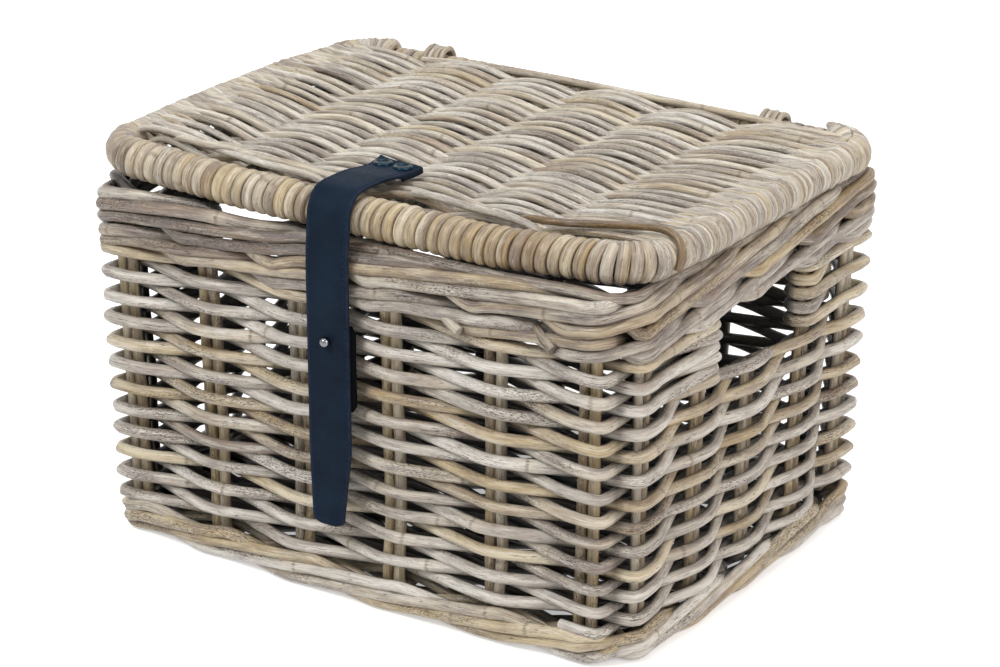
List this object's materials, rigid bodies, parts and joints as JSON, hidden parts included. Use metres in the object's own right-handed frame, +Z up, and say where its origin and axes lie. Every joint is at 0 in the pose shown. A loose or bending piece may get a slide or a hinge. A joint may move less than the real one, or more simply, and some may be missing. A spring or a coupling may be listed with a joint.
{
  "type": "lidded rattan bicycle basket",
  "caption": "Rectangular rattan bicycle basket with woven walls, a handle opening in each short side, a woven lid hinged on cane lashings and a leather strap that buttons on a ball stud.",
  "frame": {"origin": "middle of the bounding box, on the plane the foot rod stands on", "axes": "+X along the long walls, -Y out of the front wall with the strap, +Z up"},
  "size_m": [0.45, 0.356, 0.2917],
  "materials": {
    "stake_cane": "raw cane",
    "weaver_cane": "raw cane, greyed",
    "thick_cane": "raw cane",
    "lid_cane": "raw cane, greyed",
    "binding_cane": "split cane",
    "leather": "dyed, stitched edges",
    "bright_metal": "polished",
    "rivet_metal": "plated"
  },
  "bodies": {
    "basket": {"long_stake_1a": "stake_cane", "long_stake_1b": "stake_cane", "long_stake_2a": "stake_cane", "long_stake_2b": "stake_cane", "long_stake_3a": "stake_cane", "long_stake_3b": "stake_cane", "long_stake_4a": "stake_cane", "long_stake_4b": "stake_cane", "long_stake_5a": "stake_cane", "long_stake_5b": "stake_cane", "long_stake_6a": "stake_cane", "long_stake_6b": "stake_cane", "cross_stake_1a": "stake_cane", "cross_stake_1b": "stake_cane", "cross_stake_2a": "stake_cane", "cross_stake_2b": "stake_cane", "cross_stake_3a": "stake_cane", "cross_stake_3b": "stake_cane", "cross_stake_4a": "stake_cane", "cross_stake_4b": "stake_cane", "cross_stake_5a": "stake_cane", "cross_stake_5b": "stake_cane", "base_weave_1": "weaver_cane", "base_weave_2": "weaver_cane", "base_weave_3": "weaver_cane", "base_weave_4": "weaver_cane", "lower_weaver_a1": "weaver_cane", "lower_weaver_a2": "weaver_cane", "lower_weaver_b1": "weaver_cane", "lower_weaver_b2": "weaver_cane", "front_weaver": "weaver_cane", "back_weaver": "weaver_cane", "wale_rod": "thick_cane", "rim_rod_a": "thick_cane", "rim_rod_b": "thick_cane", "foot_rod": "thick_cane", "border_rod": "thick_cane", "hinge_lashing_left": "binding_cane", "hinge_lashing_right": "binding_cane", "strap_tab": "leather", "stud": "bright_metal", "stud_washer": "rivet_metal"},
    "lid": {"lid_frame": "thick_cane", "lid_weave": "lid_cane", "lid_stake_1": "stake_cane", "lid_stake_2": "stake_cane", "lid_stake_3": "stake_cane", "lid_stake_4": "stake_cane", "lid_stake_5": "stake_cane", "lid_stake_6": "stake_cane", "front_binding_left": "binding_cane", "front_binding_right": "binding_cane", "back_binding": "binding_cane", "strap": "leather", "strap_rivet_left": "rivet_metal", "strap_rivet_right": "rivet_metal", "rivet_burr_left": "rivet_metal", "rivet_burr_right": "rivet_metal"},
    "strap_tail": {"strap_tail": "leather"}
  },
  "joints": [
    {"name": "lid_hinge", "type": "hinge", "parent": "basket", "child": "lid", "pos_m": [0, 0.15637, 0.272], "axis": [-1, 0, 0], "range_deg": [0, 110]},
    {"name": "strap_swing", "type": "hinge", "parent": "lid", "child": "strap_tail", "pos_m": [0, -0.17258, 0.262], "axis": [-1, 0, 0], "range_deg": [0, 100]}
  ]
}
